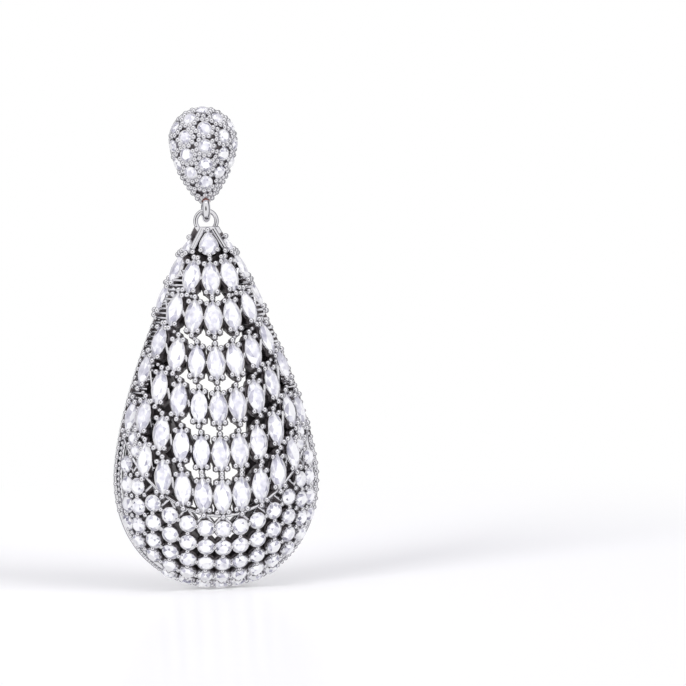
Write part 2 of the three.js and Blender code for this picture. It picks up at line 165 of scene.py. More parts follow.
# Sections of the bands round stones, outwards and upwards from the girdle
THIN_COLLAR = ((0.1, -0.55), (0.1, 0.0), (0.07, 0.06), (0.0, 0.06), (-0.04, -0.1), (-0.04, -0.55))
DEEP_COLLAR = ((0.24, -1.3), (0.24, -0.28), (-0.1, -0.28), (-0.1, -1.3))
BASKET_RING = ((0.12, -BASKET_DEPTH), (0.12, -1.5), (-0.15, -1.5), (-0.15, -BASKET_DEPTH))
CUP = ((0.12, -CUP_DEPTH), (0.2, -0.28), (-0.08, -0.28), (-0.3, -CUP_DEPTH))
STUD_COLLAR = ((0.07, -0.3), (0.07, 0.03), (-0.03, 0.03), (-0.03, -0.3))

# Every stone: shares of its width or outline, and of its depth below the girdle
CROWN_SHARE = 0.22
TABLE_SHARE = 0.56
STAR_SHARE = 0.78
STAR_HEIGHT = 0.635
LOWER_SHARE = 0.3
LOWER_DEPTH = 0.72
GIRDLE = 0.05
DARKEST_TABLE = 0.42
FACET_STEP, FACET_SPREAD = 12.9898, 43758.5453  # they scatter the tones of neighbouring facets
SHARP_EDGE = 58  # degrees

# View of the photo
PHOTO_WIDTH = 686
PIXELS_PER_MM = 9.2
PHOTO_MIDDLE_Z = -22.07  # height in the photo's middle row
PHOTO_OFFSET = 14.19  # from the earring's axis to the photo's middle, to the right
CAMERA_DISTANCE = 364.5
CAMERA_ELEVATION = 3.0
CAMERA_TURN = 7.2  # the lens stands this far round to the earring's left
CAMERA_LEAN = 1.9  # the earring's top leans this far to the left
SENSOR = 36.0

# Light and floor
TENT_FRONT = (-0.337, -0.925, 0.174)  # from the earring towards the open front of the light tent
# Share of the way from the tent's front to its back, and its tone there
TENT_TONES = (
    (0.0, "#141416"),
    (0.024, "#141416"),
    (0.04, "#FFFFFF"),
    (0.42, "#F6F6FA"),
    (0.55, "#8A8A8F"),
    (0.63, "#0C0C0E"),
    (0.71, "#0C0C0E"),
    (0.83, "#EDEDF1"),
    (0.953, "#FFFFFF"),
    (0.98, "#BCBCC2"),
    (1.0, "#F0F0F4"),
)
OBJECT_MIDDLE = (0, -0.005, -0.025)  # metres, as below
FLOOR_GLOW = 0.12  # lifts the floor to the plain white of the photo's
FLOOR_NEAR = 0.055  # from the origin to where the floor starts to run into white
FLOOR_FAR = 0.14
FLOOR_REACH = 3.0

Form = namedtuple("Form", "point sense length width depth back belly point_width flank_power round_power")
Places = namedtuple("Places", "origin across along out")

STUD_FORM = Form(
    point=-0.66 * STUD_HEIGHT,
    sense=1,
    length=STUD_HEIGHT,
    width=STUD_WIDTH,
    depth=STUD_DEPTH,
    back=-STUD_PLATE,
    belly=0.66,
    point_width=0.12,
    flank_power=1.8,
    round_power=2,
)
PAVE_FORM = STUD_FORM._replace(
    point=STUD_FORM.point + STUD_LIP,
    length=STUD_HEIGHT - 2 * STUD_LIP,
    width=STUD_WIDTH - 2 * STUD_LIP,
)
LOOP_RADIUS = (LOOP_HOLE + LOOP_WIRE) / 2
RING_RADIUS = (RING_HOLE + RING_WIRE) / 2
LOOP_CENTRE = np.array([0, -LOOP_RADIUS - LOOP_WIRE / 2, STUD_FORM.point - LOOP_RADIUS + LOOP_SOLDER])
RING_Z = LOOP_CENTRE[2] - LOOP_RADIUS + LOOP_WIRE / 2 + HANG_GAP - RING_HOLE / 2
DROP_BACK = LOOP_CENTRE[1] + BACK_PLATE / 2
DROP_FORM = Form(
    point=RING_Z - RING_HOLE / 2 + RING_TO_DROP,
    sense=-1,
    length=DROP_LENGTH,
    width=DROP_WIDTH,
    depth=DROP_DEPTH,
    back=DROP_BACK - BACK_PLATE,
    belly=0.695,
    point_width=0.12,
    flank_power=1.5,
    round_power=2.2,
)
OPENING_FORM = DROP_FORM._replace(
    point=DROP_FORM.point - OPENING_TOP,
    length=OPENING_LENGTH,
    width=OPENING_WIDTH,
    belly=OPENING_BELLY,
    point_width=OPENING_POINT,
    flank_power=2,
    round_power=2.6,
)


# Teardrop surfaces
def width_share(form, level):
    """Half width at a level over the greatest one: a power curve from the point to the belly and
    a superellipse round the far end."""
    rise = np.clip((form.belly - level) / form.belly, 0, 1)
    flank = 1 - (1 - form.point_width) * rise**form.flank_power
    fall = np.clip((level - form.belly) / (1 - form.belly), 0, 1)
    far_end = (1 - fall**form.round_power) ** (1 / form.round_power)
    return np.where(level <= form.belly, flank, far_end)


def half_width(form, level):
    """Half of the form's width, times the share."""
    return form.width / 2 * width_share(form, level)


def depth_at(form, level):
    """Depth of the dome in front of its back: the greatest one, times the same share."""
    return form.depth * width_share(form, level)


def dome_point(form, level, angle):
    """Every level section is half an ellipse: x = half width times the sine of the angle, and the
    depth in front of the back times its cosine. The level runs from the point to the far end."""
    level, angle = np.broadcast_arrays(np.asarray(level, float), np.asarray(angle, float))
    return np.stack(
        [
            half_width(form, level) * np.sin(angle),
            form.back - depth_at(form, level) * np.cos(angle),
            form.point + form.sense * level * form.length,
        ],
        axis=-1,
    )


def unit(vectors):
    """Each vector over its length."""
    return vectors / np.linalg.norm(vectors, axis=-1, keepdims=True)


def dome_places(form, level, angle, lift=0.0):
    """Places on a dome: along runs towards the form's point, out is square to the surface, and
    across is square to both. The slopes are central differences of the surface formula."""
    step = 1e-3
    round_step = dome_point(form, level, angle + step) - dome_point(form, level, angle - step)
    along = unit(dome_point(form, level - step, angle) - dome_point(form, level + step, angle))
    out = unit(np.cross(round_step, along))
    origin = dome_point(form, level, angle)
    middle = np.array([0, form.back, form.point + form.sense * form.belly * form.length])
    inwards = np.sum(out * (origin - middle), axis=-1, keepdims=True) < 0
    out = np.where(inwards, -out, out)
    return Places(origin + lift * out, np.cross(along, out), along, out)


def angle_at_arc(form, level, arc):
    """Angle at which the arc of a level section reaches a length, from the section's summed steps."""
    angles = np.linspace(0, np.pi / 2, 181)
    step = angles[1]
    level, arc = np.atleast_1d(level), np.atleast_1d(arc)
    wide, deep = half_width(form, level)[:, None], depth_at(form, level)[:, None]
    runs = np.cumsum(step * np.hypot(wide * np.cos(angles), deep * np.sin(angles)), axis=1)
    found = [np.interp(abs(a), run, angles) for a, run in zip(arc, runs)]
    return np.sign(arc) * np.array(found)


def border_angle(level):
    """Angle of the border wire, which stands on the rim: its cosine is the height of the rim, gap
    and half wire over the dome's depth."""
    depth = np.maximum(depth_at(DROP_FORM, level), 0.01)
    stand = RIM_RISE * depth + SEAT_GAP + BORDER_WIRE / 2
    return np.arccos(np.clip(stand / depth, -1, 1))


def climb(level, arc, curve):
    """A row climbs away from its middle as the square of the distance round it."""
    return level - arc**2 / (2 * curve) / DROP_LENGTH


def row_places(level, arc, curve=ROW_CURVE):
    """Places of a row, at their distances round the dome from its middle."""
    arc = np.atleast_1d(np.asarray(arc, float))
    raised = climb(level, arc, curve)
    return dome_places(DROP_FORM, raised, angle_at_arc(DROP_FORM, raised, arc))


def both_sides(level, degrees):
    """The places on the drop at a level and an angle, left and right."""
    return dome_places(DROP_FORM, np.full(2, level), np.radians([-degrees, degrees]))


def some(places, chosen):
    """The chosen ones of some places."""
    return Places(*(part[chosen] for part in places))


def together(*groups):
    """Groups of places, one after another."""
    return Places(*(np.concatenate(parts) for parts in zip(*groups)))


def between(first, second):
    """The first places, moved halfway to the second."""
    return first._replace(origin=(first.origin + second.origin) / 2)


def offset(places, across, along, up=0.0):
    """The same axes, moved in their own directions."""
    moved = places.origin + across * places.across + along * places.along + up * places.out
    return places._replace(origin=moved)


def around(places, reach, count, start, up=0.0):
    """Places in a circle round each place, the first at the start angle."""
    turns = 2 * np.pi * np.arange(count) / count + start
    return together(*(offset(places, reach * np.cos(t), reach * np.sin(t), up) for t in turns))


def run_along(points):
    """Length of a path up to each of its points."""
    return np.concatenate([[0], np.cumsum(np.linalg.norm(np.diff(points, axis=0), axis=1))])


def spaced(points, pitch, first=0.0):
    """Points a pitch apart along a path, and for each the number of the path's next point."""
    run = run_along(points)
    at = np.arange(first, run[-1], pitch)
    found = np.stack([np.interp(at, run, part) for part in points.T], axis=-1)
    return found, np.searchsorted(run, at).clip(0, len(run) - 1)


# Shapes
def join(*shapes):
    """Puts shapes into one, with their point numbers moved up."""
    points, faces, start = [], {}, 0
    for shape_points, shape_faces in shapes:
        for corners, rows in shape_faces.items():
            faces.setdefault(corners, []).append(rows + start)
        points.append(shape_points)
        start += len(shape_points)
    return np.concatenate(points), {k: np.concatenate(rows) for k, rows in faces.items()}


def copies(shape, places):
    """Repeats a shape: its point (a, b, c) goes to origin + a across + b along + c out."""
    points, faces = shape
    axes = np.stack([places.across, places.along, places.out], axis=1)
    moved = places.origin[:, None] + np.einsum("pk,mkx->mpx", points, axes)
    shift = len(points) * np.arange(len(moved))[:, None, None]
    return moved.reshape(-1, 3), {k: (shift + rows).reshape(-1, k) for k, rows in faces.items()}


def skin(sections, closed=False):
    """Skins bundles of sections, an array of bundle, station, side and coordinate. Each section
    is joined to the next, and open bundles get flat ends."""
    bundles, stations, sides, _ = sections.shape
    number = np.arange(bundles * stations * sides).reshape(bundles, stations, sides)
    ahead = np.roll(number, -1, axis=1) if closed else number[:, 1:]
    here = number if closed else number[:, :-1]
    quads = np.stack([here, ahead, np.roll(ahead, -1, axis=2), np.roll(here, -1, axis=2)], axis=-1)
    faces = {4: quads.reshape(-1, 4)}
    if not closed:
        ends = np.concatenate([number[:, 0], number[:, -1, ::-1]])
        faces[sides] = np.concatenate([faces[4], ends]) if sides == 4 else ends
    return sections.reshape(-1, 3), faces


def tubes(paths, radius, hint, sides=8, closed=False):
    """Round wires: each point of a path carries a ring of the radius, square to the path, whose
    start is turned by the hint."""
    if closed:
        tangent = unit(np.roll(paths, -1, axis=1) - np.roll(paths, 1, axis=1))
    else:
        tangent = unit(np.gradient(paths, axis=1))
    side = unit(np.cross(tangent, np.broadcast_to(hint, paths.shape)))
    up = np.cross(side, tangent)
    turn = 2 * np.pi * (np.arange(sides) + 0.5) / sides
    ring = side[:, :, None] * np.cos(turn)[:, None] + up[:, :, None] * np.sin(turn)[:, None]
    radius = np.broadcast_to(np.asarray(radius, float), paths.shape[:2])[..., None, None]
    return skin(paths[:, :, None] + radius * ring, closed)


def rods(start, end, out, radius, sides=6):
    """Straight rods between pairs of points."""
    return tubes(np.stack([start, end], axis=1), radius, out[:, None], sides)


def lathe(profile, sides):
    """Solid of revolution round the out axis. The profile gives radius and height from its lowest
    point on the axis to its highest."""
    profile = np.array(profile, float)
    turn = 2 * np.pi * np.arange(sides) / sides
    radius, height = profile[1:-1, 0][:, None], profile[1:-1, 1][:, None]
    rings = np.stack([radius * np.cos(turn), radius * np.sin(turn), height + 0 * turn], axis=-1)
    points = np.concatenate([[[0, 0, profile[0, 1]]], rings.reshape(-1, 3), [[0, 0, profile[-1, 1]]]])
    here = np.arange(sides)
    ahead = (here + 1) % sides
    base = 1 + sides * np.arange(len(radius) - 1)[:, None]
    quads = np.stack([base + here, base + ahead, base + ahead + sides, base + here + sides], axis=-1)
    last = len(points) - 1
    low = np.stack([0 * here, 1 + ahead, 1 + here], axis=-1)
    high = np.stack([0 * here + last, last - sides + here, last - sides + ahead], axis=-1)
    return points, {4: quads.reshape(-1, 4), 3: np.concatenate([low, high])}


def bead(diameter, middle, foot, stem):
    """A round bead on a stem: most of a circle, then a straight line down to the foot. It has few
    faces, as it is repeated hundreds of times."""
    turn = np.radians([-40, 0, 35, 65])
    cap = np.stack([diameter / 2 * np.cos(turn), middle + diameter / 2 * np.sin(turn)], axis=-1)
    return lathe([[0, foot], [stem / 2, foot], *cap, [0, middle + diameter / 2]], 8)


# Outlines of stones, as (across, along) for a turn that starts at the side
def marquise_outline(turn):
    """Two full curves that meet in points: across is the cosine's 1.7th power, along nearly the
    sine."""
    side = np.cos(turn)
    return np.stack([np.sign(side) * np.abs(side) ** 1.7, 0.97 * np.sin(turn)], axis=-1)


def round_outline(turn):
    """A circle."""
    return np.stack([np.cos(turn), np.sin(turn)], axis=-1)


def pear_outline(turn):
    """A circle narrowed by the sine of half the turn from its point, over the greatest width that
    this leaves."""
    from_point = np.pi / 2 - turn
    narrow = np.abs(np.sin(from_point / 2)) / 0.77
    return np.stack([np.sin(from_point) * narrow, np.cos(from_point)], axis=-1)


def cut_stone(outline, length, width, pavilion):
    """Brilliant cut: a table of 8 corners, 8 stars, 8 kites, 16 upper and 16 lower girdle facets,
    a girdle band and 8 mains down to the culet. Every ring is the outline at its own share."""
    crown = CROWN_SHARE * width
    size = np.array([width / 2, length / 2])
    eighths = np.arange(8) * np.pi / 4
    halves = eighths + np.pi / 8
    whole = np.arange(16) * np.pi / 8

    def ring(turns, share, height):
        flat = outline(turns) * size * share
        return np.column_stack([flat, np.full(len(turns), height)])

    points = np.concatenate(
        [
            ring(eighths, TABLE_SHARE, crown),
            ring(halves, STAR_SHARE, STAR_HEIGHT * crown),
            ring(whole, 1, GIRDLE / 2),
            ring(whole, 1, -GIRDLE / 2),
            ring(halves, LOWER_SHARE, -LOWER_DEPTH * pavilion),
            [[0, 0, -pavilion]],
        ]
    )
    table, star, upper, lower, low, culet = 0, 8, 16, 32, 48, 56
    k = np.arange(8)
    n = (k + 1) % 8
    kite_tip, split, next_tip = 2 * k, 2 * k + 1, (2 * k + 2) % 16
    g = np.arange(16)
    h = (g + 1) % 16
    triangles = [
        (table + k, star + k, table + n),
        (star + k, upper + kite_tip, upper + split),
        (star + k, upper + split, upper + next_tip),
        (low + k, lower + split, lower + kite_tip),
        (low + k, lower + next_tip, lower + split),
    ]
    quads = [
        (table + n, star + k, upper + next_tip, star + n),
        (lower + g, lower + h, upper + h, upper + g),
        (0 * k + culet, low + n, lower + next_tip, low + k),
    ]
    three, four = (np.concatenate([np.stack(c, axis=-1) for c in rows]) for rows in (triangles, quads))
    return points, {8: (table + k)[None], 3: three, 4: four}


def collar(outline, length, width, section, steps):
    """A band round a stone: the section's steps outwards and upwards, carried round the outline."""
    turn = 2 * np.pi * np.arange(steps) / steps
    edge = outline(turn) * np.array([width / 2, length / 2])
    chord = np.roll(edge, -1, axis=0) - np.roll(edge, 1, axis=0)
    outward = unit(np.stack([chord[:, 1], -chord[:, 0]], axis=-1))
    section = np.array(section)
    flat = edge[:, None] + outward[:, None] * section[None, :, :1]
    height = np.broadcast_to(section[None, :, 1:], flat[..., :1].shape)
    return skin(np.concatenate([flat, height], axis=-1)[None], closed=True)


# Finishes
def linear(colour):
    """sRGB hex to linear red, green, blue and alpha."""
    parts = np.array([int(colour[i : i + 2], 16) for i in (1, 3, 5)]) / 255
    flat = np.where(parts <= 0.04045, parts / 12.92, ((parts + 0.055) / 1.055) ** 2.4)
    return (*flat, 1.0)


def fill(node, inputs):
    """Fills a node's inputs with plain values, or links them to other nodes' outputs."""
    for name, value in inputs.items():
        if isinstance(value, bpy.types.NodeSocket):
            node.id_data.links.new(value, node.inputs[name])
        else:
            node.inputs[name].default_value = value


def add(tree, kind, inputs, **settings):
    """Adds a node with its settings and links."""
    node = tree.nodes.new(kind)
    for name, value in settings.items():
        setattr(node, name, value)
    fill(node, inputs)
    return node


def ramp(tree, factor, *stops):
    """A colour ramp with its stops, each a place and an sRGB hex colour."""
    node = add(tree, "ShaderNodeValToRGB", {"Fac": factor})
    points = node.color_ramp.elements
    while len(points) < len(stops):
        points.new(0.5)
    for point, (place, colour) in zip(points, stops):
        point.position = place
        point.color = linear(colour)
    return node.outputs["Color"]


def finish_of(name, build):
    """A material with one Principled shader, which build fills in."""
    material = bpy.data.materials.new(name)
    material.use_nodes = True
    tree = material.node_tree
    build(tree, tree.nodes["Principled BSDF"])
    return material


def rhodium(tree, shader):
    """Rhodium plate over polished brass: a cool white mirror, a little softened where the wheel
    left swirls of about 0.3 mm, with ripples of the casting under it."""
    place = add(tree, "ShaderNodeTexCoord", {}).outputs["Object"]
    swirl = add(tree, "ShaderNodeTexNoise", {"Vector": place, "Scale": 1 / (0.3 * MM), "Detail": 3.0})
    rough = add(
        tree,
        "ShaderNodeMapRange",
        {"Value": swirl.outputs["Fac"], "From Min": 0.3, "From Max": 0.7, "To Min": 0.06, "To Max": 0.15},
    )
    ripple = add(tree, "ShaderNodeTexNoise", {"Vector": place, "Scale": 1 / (0.5 * MM), "Detail": 2.0})
    bump = add(
        tree,
        "ShaderNodeBump",
        {"Height": ripple.outputs["Fac"], "Strength": 0.2, "Distance": 0.01 * MM},
    )
    fill(shader, {"Base Color": linear("#E3E2E5"), "Metallic": 1.0})
    fill(shader, {"Roughness": rough.outputs["Result"], "Normal": bump.outputs["Normal"]})


def painted_shade_finish(tree, shader):
    """Painted shade for the recesses: dark, grey-brown and satin metal in place of the shade that
    falls there, with the casting's grain of about 0.12 mm."""
    place = add(tree, "ShaderNodeTexCoord", {}).outputs["Object"]
    grain = add(tree, "ShaderNodeTexNoise", {"Vector": place, "Scale": 1 / (0.12 * MM), "Detail": 4.0})
    stain = add(tree, "ShaderNodeTexNoise", {"Vector": place, "Scale": 1 / (1.2 * MM), "Detail": 2.0})
    tone = ramp(tree, stain.outputs["Fac"], (0.35, "#352F31"), (0.65, "#635D5F"))
    bump = add(
        tree,
        "ShaderNodeBump",
        {"Height": grain.outputs["Fac"], "Strength": 0.4, "Distance": 0.02 * MM},
    )
    fill(shader, {"Base Color": tone, "Metallic": 0.55, "Roughness": 0.34})
    fill(shader, {"Normal": bump.outputs["Normal"]})


def zirconia(tree, shader):
    """Clear cut zirconia: hard flat facets with strong reflections. Each facet carries a painted tone
    that stands in for the light turned back inside the stone: painted reflections, from white to a
    pale lavender grey."""
    tone = add(tree, "ShaderNodeAttribute", {}, attribute_name="facet_painted_light")
    place = add(tree, "ShaderNodeTexCoord", {}).outputs["Object"]
    veil = add(tree, "ShaderNodeTexNoise", {"Vector": place, "Scale": 1 / (0.7 * MM), "Detail": 2.0})
    mixed = add(tree, "ShaderNodeMath", {0: tone.outputs["Fac"], 1: veil.outputs["Fac"]}, operation="ADD")
    colour = ramp(
        tree,
        add(tree, "ShaderNodeMath", {0: mixed.outputs[0], 1: 0.5}, operation="MULTIPLY").outputs[0],
        (0.14, "#6F6E82"),
        (0.32, "#B4B3C4"),
        (0.48, "#DAD9E4"),
        (0.6, "#FCFCFE"),
    )
    fill(shader, {"Base Color": colour, "IOR": 2.16, "Roughness": 0.03, "Transmission Weight": 0.25})


def solder(tree, shader):
    """Copper-bearing solder that shows red-brown through the plate, with the grain of its fillet,
    about 0.1 mm."""
    place = add(tree, "ShaderNodeTexCoord", {}).outputs["Object"]
    grain = add(tree, "ShaderNodeTexNoise", {"Vector": place, "Scale": 1 / (0.1 * MM), "Detail": 3.0})
    tone = ramp(tree, grain.outputs["Fac"], (0.3, "#7C4A44"), (0.7, "#B9877C"))
    fill(shader, {"Base Color": tone, "Metallic": 1.0, "Roughness": 0.3})


RHODIUM = finish_of("rhodium_plate_polished", rhodium)
SOLDER = finish_of("copper_solder", solder)
# The dark finish is painted shade for the recesses
PAINTED_SHADE = finish_of("rhodium_plate_painted_shade", painted_shade_finish)
ZIRCONIA = finish_of("cut_zirconia", zirconia)


# Pieces
def piece(name, shape, body, materials, slot, smooth=True, second=None, nodes=()):
    """Puts a shape into a mesh, ties it to its body, and hides the plain solids that it stands
    for. second marks the faces that take the second material."""
    points, faces = shape
    mesh = bpy.data.meshes.new(name)
    sizes = np.concatenate([np.full(len(rows), corners) for corners, rows in faces.items()])
    numbers = np.concatenate([rows.ravel() for rows in faces.values()]).astype(np.int32)
    mesh.vertices.add(len(points))
    mesh.vertices.foreach_set("co", (points * MM).ravel())
    mesh.loops.add(len(numbers))
    mesh.loops.foreach_set("vertex_index", numbers)
    mesh.polygons.add(len(sizes))
    mesh.polygons.foreach_set("loop_start", (np.cumsum(sizes) - sizes).astype(np.int32))
    if second is not None:
        mesh.polygons.foreach_set("material_index", second.astype(np.int32))
    mesh.polygons.foreach_set("use_smooth", np.full(len(sizes), smooth))
    mesh.update(calc_edges=True)
    if smooth:
        mesh.set_sharp_from_angle(angle=np.radians(SHARP_EDGE))
    for material in materials:
        mesh.materials.append(material)
    made = bpy.data.objects.new(name, mesh)
    bpy.context.scene.collection.objects.link(made)
    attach(made, body)
    if nodes:
        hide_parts(*nodes)
    return made


def metal(name, shape, body, **more):
    """A polished piece."""
    return piece(name, shape, body, [RHODIUM], "rhodium_plate", **more)


def painted_shade_metal(name, shape, body, **more):
    """A recessed piece in painted shade: faces that look forwards take the dark painted-shade
    finish, and faces that look to the back stay bright polished metal.
    """
    made = piece(name, shape, body, [PAINTED_SHADE, RHODIUM], "rhodium_plate", **more)
    faces = made.data.polygons
    normals = np.empty(3 * len(faces), np.float32)
    faces.foreach_get("normal", normals)
    faces.foreach_set("material_index", (normals[1::3] > 0.5).astype(np.int32))
    return made


def stones(name, shape, body, contrast=1.0, lift=0.0, **more):
    """Flat facets, each with its own painted tone from a sine of its number, standing in for the light
    turned back inside the stone. The contrast spreads the tones about the middle one and the lift
    moves them all towards white: small round stones get more painted sparkle than long ones. A
    table, the only facet of 8 corners, is never dark."""
    made = piece(name, shape, body, [ZIRCONIA], "clear_stones", smooth=False, **more)
    facets = made.data.polygons
    swing = np.sin(np.arange(len(facets)) * FACET_STEP) * FACET_SPREAD
    shade = 0.5 + lift + contrast * (swing - np.floor(swing) - 0.5)
    corners = np.empty(len(facets), np.int32)
    facets.foreach_get("loop_total", corners)
    shade = np.where(corners == 8, np.maximum(shade, DARKEST_TABLE + lift), shade)
    tone = made.data.attributes.new("facet_painted_light", "FLOAT", "FACE")
    tone.data.foreach_set("value", shade.astype(np.float32))
    return made


def beads(name, kind, places, body="drop"):
    """Bright beads of one kind."""
    return metal(name, copies(bead(*kind), places), body)


def set_rounds(name, diameter, deep, places, **look):
    """The drop's round stones of one kind, in bright collars and dark cups of painted shade."""
    cut = cut_stone(round_outline, diameter, diameter, deep)
    rim, cup = (collar(round_outline, diameter, diameter, band, 16) for band in (THIN_COLLAR, CUP))
    stones(f"{name}_stones", copies(cut, places), "drop", **look)
    metal(f"{name}_collars", copies(rim, places), "drop")
    painted_shade_metal(f"{name}_cups", copies(cup, places), "drop")


# Outlines of the two flat plates
def outline(form, steps, inset=0.0):
    """Right side from the point to the far end and the left side back, as (x, z) and the level.
    The levels follow a sine, so the steps are short round the far end. The inset moves inwards by
    the mitre of the two edges that meet at each point."""
    half = steps // 2
    level = np.sin(np.pi / 2 * np.arange(half + 1) / half)
    side = np.stack([half_width(form, level), form.point + form.sense * level * form.length], axis=-1)
    left = side[::-1] * [-1, 1]
    ring = np.concatenate([side, left[1:]])
    levels = np.concatenate([level, level[::-1][1:]])
    edge = np.roll(ring, -1, axis=0) - ring
    after = form.sense * unit(np.stack([-edge[:, 1], edge[:, 0]], axis=-1))
    before = np.roll(after, 1, axis=0)
    mitre = (before + after) / (1 + np.sum(before * after, axis=-1, keepdims=True))
    return ring + inset * mitre, levels


def ring_of(flat, height):
    """The (x, z) points of an outline, with their y."""
    height = np.broadcast_to(height, len(flat))
    return np.stack([flat[:, 0], height, flat[:, 1]], axis=-1)


# Drop frame: plate, rim and ring
def drop_plate():
    """The plate's and rim's section, carried round the drop's outline: from the edge of the back up
    the rim, over it, down to the front of the plate and back through the opening. A second ring
    beside each eased edge keeps the flat faces flat. Gives the faces that take the painted shade too."""
    steps = 200
    outer, levels = outline(DROP_FORM, steps)
    rim_top = DROP_FORM.back - RIM_RISE * depth_at(DROP_FORM, levels)
    opening, _ = outline(OPENING_FORM, steps)
    beside, flat_edge = (opening + (outer - opening) * share for share in (0.02, 0.04))

    def inset(distance):
        return outline(DROP_FORM, steps, distance)[0]

    rings = [
        (inset(1.5 * DROP_SOFT), DROP_BACK),
        (inset(DROP_SOFT), DROP_BACK),
        (outer, DROP_BACK - DROP_SOFT),
        (outer, rim_top + DROP_SOFT),
        (inset(DROP_SOFT), rim_top),
        (inset(RIM_WALL - DROP_SOFT), rim_top),
        (inset(RIM_WALL), rim_top + DROP_SOFT),
        (inset(RIM_WALL), DROP_FORM.back),
        (flat_edge, DROP_FORM.back),
        (beside, DROP_FORM.back),
        (opening, DROP_FORM.back + DROP_SOFT),
        (opening, DROP_BACK - DROP_SOFT),
        (beside, DROP_BACK),
        (flat_edge, DROP_BACK),
    ]
    points, faces = skin(np.stack([ring_of(*ring) for ring in rings], axis=1)[None], closed=True)
    place = np.arange(len(rings))
    # The inner wall of the rim, the front of the plate, and the rim's front over the drop's upper part take
    # painted shade
    inner = np.isin(place, [6, 7, 8, 9])
    rim_front = np.isin(place, [3, 4, 5])
    upper = (levels[:, None] < RIM_SHADE_LEVEL) & (levels[:, None] > 0.01)
    return (points, {4: faces[4][:, ::-1]}), (inner | (upper & rim_front)).ravel()


def circle_path(centre, radius, first, second, steps=48):
    """A circle in the plane of two axes."""
    turn = 2 * np.pi * np.arange(steps)[:, None] / steps
    return centre + radius * (np.cos(turn) * np.array(first) + np.sin(turn) * np.array(second))


plate_shape, plate_shaded = drop_plate()
piece(
    "drop_plate",
    plate_shape,
    "drop",
    [RHODIUM, PAINTED_SHADE],
    "rhodium_plate",
    second=plate_shaded,
    nodes=["drop_frame"],
)
ring_path = circle_path([0, LOOP_CENTRE[1], RING_Z], RING_RADIUS, [1, 0, 0], [0, 0, 1])
metal("drop_ring", tubes(ring_path[None], RING_WIRE / 2, [0, 1.0, 0], 12, closed=True), "drop")

# Marquise field, with its pears
row_list = [
    row_places(level, np.arange(-sides, sides + 1) * MARQUISE_PITCH) for level, sides in MARQUISE_ROWS
]
flanks = row_places(FLANK_LEVEL, np.array([-1, 1]) * FLANK_COLUMN * MARQUISE_PITCH)
marquises = together(*row_list, flanks)
pear = dome_places(DROP_FORM, np.array([PEAR_LEVEL]), np.array([0.0]))
side_pears = both_sides(SIDE_PEAR_LEVEL, SIDE_PEAR_ANGLE)
# Outline, length, width, depth below the girdle, steps of the collar, places
long_stones = (
    (marquise_outline, SEEN_LENGTH, SEEN_WIDTH, 0.9, 28, marquises),
    (pear_outline, PEAR_LENGTH, PEAR_WIDTH, 0.9, 28, pear),
    (pear_outline, SIDE_PEAR_LENGTH, SIDE_PEAR_WIDTH, 0.6, 20, side_pears),
)
cuts = join(*(copies(cut_stone(*form, deep), places) for *form, deep, _, places in long_stones))
stones("marquise_stones", cuts, "drop", contrast=0.8, lift=0.05, nodes=["marquise_gallery"])
collars = (copies(collar(*form, THIN_COLLAR, steps), places) for *form, _, steps, places in long_stones)
metal("marquise_collars", join(*collars), "drop")

tips = [offset(marquises, 0, side * TIP_PRONG) for side in (-1, 1)]
shoulders = [
    offset(marquises, a * SHOULDER_PRONG[0], b * SHOULDER_PRONG[1]) for a in (-1, 1) for b in (-1, 1)
]
pear_prongs = [offset(pear, *place) for place in PEAR_PRONGS]
pear_prongs += [offset(side_pears, *place) for place in SIDE_PEAR_PRONGS]
beads("prong_beads", PRONG_BEAD, together(*tips, *shoulders, *pear_prongs))

# Baskets: stems that lean from the prongs towards the stone's middle, a deep collar and a ring, in painted
# shade
heads = together(*tips, *shoulders)
middles = together(*[marquises] * len(tips + shoulders))
stems = rods(
    heads.origin - 0.15 * heads.out,
    middles.origin - BASKET_DEPTH * heads.out + 0.55 * (heads.origin - middles.origin),
    middles.along,
    PRONG_STEM / 2,
)
deep_collar = collar(marquise_outline, SEEN_LENGTH, SEEN_WIDTH, DEEP_COLLAR, 20)
basket_ring = collar(
    marquise_outline, BASKET_SHARE * MARQUISE_LENGTH, BASKET_SHARE * MARQUISE_WIDTH, BASKET_RING, 20
)
painted_shade_metal(
    "marquise_baskets",
    join(stems, copies(deep_collar, marquises), copies(basket_ring, marquises)),
    "drop",
)

# Links from side to side along a row
lefts = together(*(some(row, slice(None, -1)) for row in row_list))
rights = together(*(some(row, slice(1, None)) for row in row_list))
half_stone = MARQUISE_WIDTH / 2
beads("side_beads", SIDE_BEAD, between(lefts, rights))
metal(
    "row_links",
    rods(
        lefts.origin + half_stone * lefts.across - 0.12 * lefts.out,
        rights.origin - half_stone * rights.across - 0.12 * rights.out,
        lefts.out,
        SIDE_LINK / 2,
    ),
    "drop",
)

# Necks from tip to tip down a column, in painted shade
row_columns = [np.arange(-sides, sides + 1) for _, sides in MARQUISE_ROWS]
uppers = together(*row_list[:-1])
lowers = together(
    *(some(row, np.isin(own, above)) for row, own, above in zip(row_list[1:], row_columns[1:], row_columns))
)
neck_starts = uppers.origin - TIP_PRONG * uppers.along - 0.25 * uppers.out
neck_ends = lowers.origin + TIP_PRONG * lowers.along - 0.25 * lowers.out
painted_shade_metal("row_necks", rods(neck_starts, neck_ends, uppers.out, NECK_WIRE / 2), "drop")
neck_ways = unit(neck_ends - neck_starts)
neck_middles = (neck_starts + neck_ends) / 2 + 0.2 * uppers.out
necks = Places(neck_middles, np.cross(neck_ways, uppers.out), neck_ways, uppers.out)
neck_long = np.linalg.norm(neck_ends - neck_starts, axis=1) > LONG_NECK
beads("neck_beads", NECK_BEAD, some(necks, neck_long))

